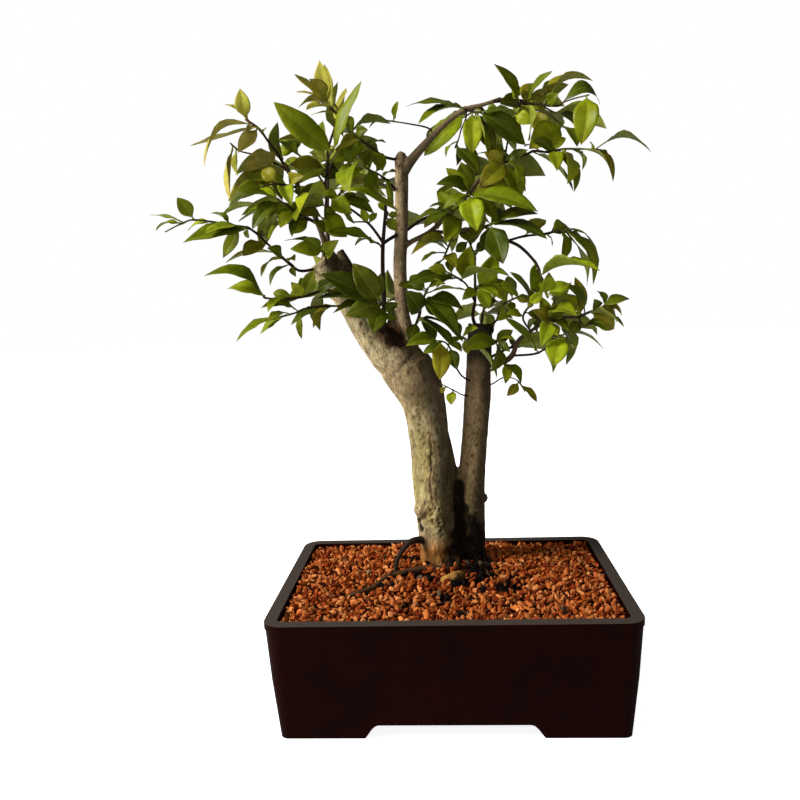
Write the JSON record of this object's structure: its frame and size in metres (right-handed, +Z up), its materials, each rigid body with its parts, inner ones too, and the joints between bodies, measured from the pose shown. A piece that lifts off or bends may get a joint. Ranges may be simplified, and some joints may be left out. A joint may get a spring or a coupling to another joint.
{
  "type": "jaboticaba bonsai in a rectangular pot",
  "caption": "Miniature jaboticaba tree with two trunks and lance-shaped leaves, growing in baked clay granules in a low rectangular stoneware pot on corner feet.",
  "frame": {"origin": "centre of the whole object's bounding box seen from above, on the surface the pot's feet stand on", "axes": "+Z up, -Y towards the viewer of the front, where the front long side of the pot faces, +X to that viewer's right"},
  "size_m": [0.3718, 0.253, 0.5098],
  "materials": {
    "stoneware": "satin",
    "screen_plastic": "matte",
    "baked_clay": "rough, dry",
    "bark": "rough bark",
    "leaf": "satin",
    "young_leaf": "satin"
  },
  "bodies": {
    "root": {"branch_diagonal": "leaf", "branch_upright": "leaf", "drain_screen_left": "screen_plastic", "drain_screen_right": "screen_plastic", "far_stem_crown": "leaf", "far_stem_crown_high": "leaf", "far_stem_leader": "leaf", "far_stem_leader_high": "leaf", "far_stem_leader_low": "leaf", "far_stem_left": "leaf", "far_stem_left_high": "leaf", "far_stem_left_low": "leaf", "far_stem_right": "leaf", "far_stem_right_branch": "leaf", "far_stem_right_high": "leaf", "far_stem_right_low": "leaf", "far_stem_right_reach": "leaf", "far_stem_second_side": "leaf", "far_stem_second_trunk": "leaf", "pot": "stoneware", "shoot_left_hanging": "young_leaf", "shoot_top_left": "young_leaf", "soil": "baked_clay", "spray_crown_back": "leaf", "spray_crown_left": "leaf", "spray_crown_top": "young_leaf", "spray_dark_twig_left": "leaf", "spray_dark_twig_side": "leaf", "spray_dark_twig_top": "leaf", "spray_elbow_back": "leaf", "spray_elbow_front": "leaf", "spray_knee": "leaf", "spray_knee_left": "leaf", "spray_leader_left": "leaf", "spray_leader_low": "leaf", "spray_left_stem_low": "leaf", "spray_left_stem_mid": "leaf", "spray_low_right_dark": "leaf", "spray_low_right_end": "leaf", "spray_right_end": "leaf", "spray_right_low_base": "leaf", "spray_right_mid_left": "leaf", "spray_right_reach": "leaf", "spray_second_top": "leaf", "spray_second_top_left": "leaf", "spray_stub_top": "leaf", "spray_top_right": "leaf", "tree": "bark", "twig_hanging_pair": "leaf", "twig_leader_left": "leaf", "twig_left_low": "leaf", "twig_left_lowest": "leaf", "twig_left_reach": "leaf", "twig_right_back": "leaf", "twig_right_low": "leaf", "twig_right_lowest": "leaf", "twig_right_mid_up": "leaf", "twig_second_left": "leaf", "twig_second_low": "leaf", "twig_second_top_right": "leaf"}
  },
  "joints": []
}
